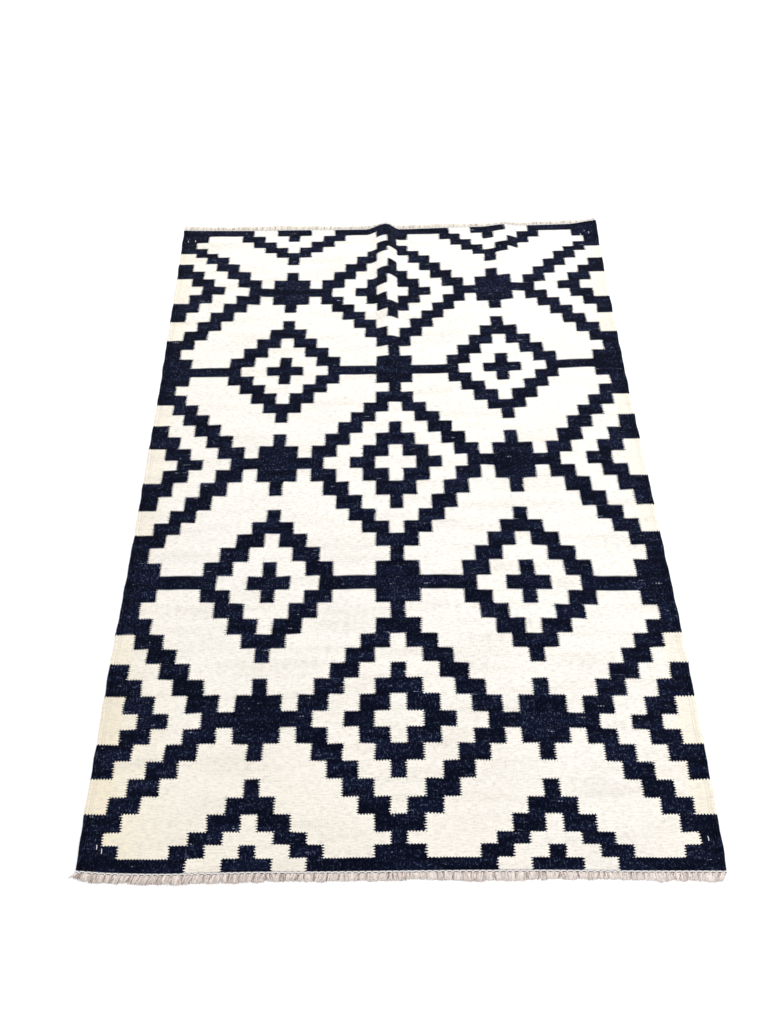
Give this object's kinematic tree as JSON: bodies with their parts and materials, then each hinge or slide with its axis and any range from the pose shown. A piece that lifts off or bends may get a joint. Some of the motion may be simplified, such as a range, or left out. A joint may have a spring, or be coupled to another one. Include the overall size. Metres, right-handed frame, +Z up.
{
  "type": "kilim rug",
  "caption": "Flat-woven wool rug lying on a floor, with a stepped diamond lattice, twined ends and short fringes.",
  "frame": {"origin": "on the floor under the middle of the rug's bounding box", "axes": "+X across the rug, +Y along its warps towards the far end where the folds are, +Z up"},
  "size_m": [1.7208, 2.4592, 0.0339],
  "materials": {
    "kilim_cloth": "matt flat-woven wool, cream and blue-black",
    "fringe_wool": "matt loose wool, greige"
  },
  "bodies": {
    "root": {"woven_cloth": "kilim_cloth", "near_fringe": "fringe_wool", "far_fringe": "fringe_wool"}
  },
  "joints": []
}
